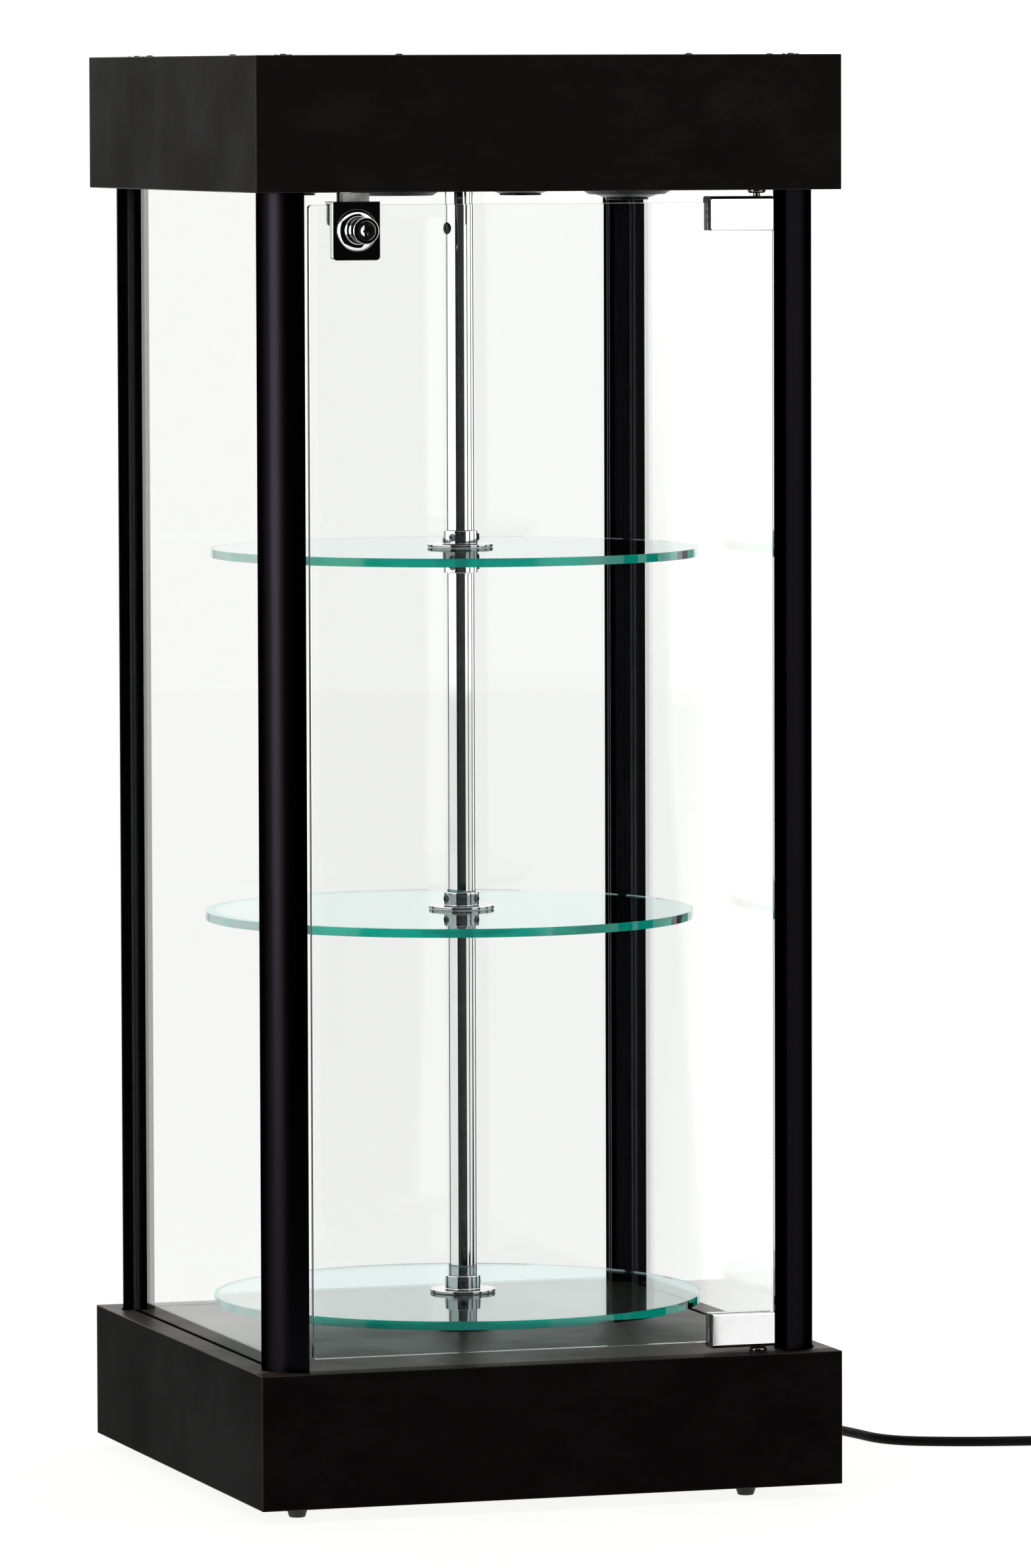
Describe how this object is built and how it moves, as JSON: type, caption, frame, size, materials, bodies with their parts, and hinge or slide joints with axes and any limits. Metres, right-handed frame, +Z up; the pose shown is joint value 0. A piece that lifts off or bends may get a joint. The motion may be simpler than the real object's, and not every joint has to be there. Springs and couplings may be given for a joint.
{
  "type": "revolving glass display cabinet",
  "caption": "Square glass display case with black base and canopy, quarter-round posts, lockable glass door and round glass shelves turning on a chromed shaft",
  "frame": {"origin": "on the turntable axis at floor level, the centre of the underside of the feet's plane", "axes": "+Z up along the shaft, -Y towards the glass door, +X towards the door's pivots"},
  "size_m": [0.857, 0.5904, 1.002],
  "materials": {
    "black_laminate": "satin laminate",
    "raw_wood": "raw",
    "black_anodised": "satin anodised",
    "clear_glass": "polished",
    "shelf_glass": "polished",
    "black_rubber": "matt",
    "chrome": "polished",
    "cast_zinc": "as cast",
    "steel": "zinc plated",
    "black_steel": "black oxide",
    "brass": "turned",
    "white_polymer": "moulded",
    "black_polymer": "moulded",
    "trim_metal": "satin",
    "lamp_black": "satin"
  },
  "bodies": {
    "cabinet": {"base_front_board": "black_laminate", "base_back_board": "black_laminate", "base_left_board": "black_laminate", "base_right_board": "black_laminate", "canopy_front_board": "black_laminate", "canopy_back_board": "black_laminate", "canopy_left_board": "black_laminate", "canopy_right_board": "black_laminate", "base_deck": "black_laminate", "base_bottom_board": "black_laminate", "canopy_ceiling": "black_laminate", "canopy_lid": "black_laminate", "base_battens": "raw_wood", "canopy_battens": "raw_wood", "post_front_left": "black_anodised", "post_front_right": "black_anodised", "post_rear_left": "black_anodised", "post_rear_right": "black_anodised", "left_pane": "clear_glass", "right_pane": "clear_glass", "back_pane": "clear_glass", "glazing_seals": "black_rubber", "base_feet": "black_rubber", "upper_pivot": "chrome", "lower_pivot": "chrome", "post_bolts": "chrome", "stop_pin": "chrome", "motor_bracket": "steel", "motor_screws": "steel", "base_screws": "steel", "lid_screws": "black_steel", "lower_bush": "brass", "upper_bush": "brass", "plug_pins": "brass", "thrust_washer": "white_polymer", "transformer": "white_polymer", "cord_gland": "black_polymer", "cord_run": "black_polymer", "cord_coil": "black_polymer", "plug_body": "black_polymer", "lamp_trims": "trim_metal", "lamp_cups": "lamp_black", "gear_motor": "lamp_black"},
    "turntable": {"shaft": "chrome", "shelf_upper": "shelf_glass", "shelf_middle": "shelf_glass", "shelf_lower": "shelf_glass", "shelf_hubs": "chrome", "set_screws": "black_steel", "drive_coupling": "brass", "motor_output_shaft": "steel"},
    "door": {"door_glass": "clear_glass", "upper_clip": "chrome", "lower_clip": "chrome", "clamp_liners": "black_rubber", "pressure_plates": "steel", "clamp_screws": "steel", "lock_housing": "chrome"},
    "lock_plug": {"lock_plug": "chrome"},
    "lock_bolt": {"lock_bolt": "cast_zinc"}
  },
  "joints": [
    {"name": "turntable_spin", "type": "hinge", "parent": "cabinet", "child": "turntable", "pos_m": [0, 0, 0.1], "axis": [0, 0, 1], "continuous": true},
    {"name": "door_swing", "type": "hinge", "parent": "cabinet", "child": "door", "pos_m": [0.1555, -0.1885, 0.5], "axis": [0, 0, 1], "range_deg": [0, 110]},
    {"name": "key_turn", "type": "hinge", "parent": "door", "child": "lock_plug", "pos_m": [-0.1358, -0.21, 0.8812], "axis": [0, 1, 0], "range_deg": [0, 90]},
    {"name": "bolt_slide", "type": "slide", "parent": "door", "child": "lock_bolt", "axis": [0, 0, -1], "range_m": [0, 0.0055]}
  ],
  "couplings": [
    {"joint": "key_turn", "follows": "bolt_slide", "rad_per_m": 285.6}
  ]
}
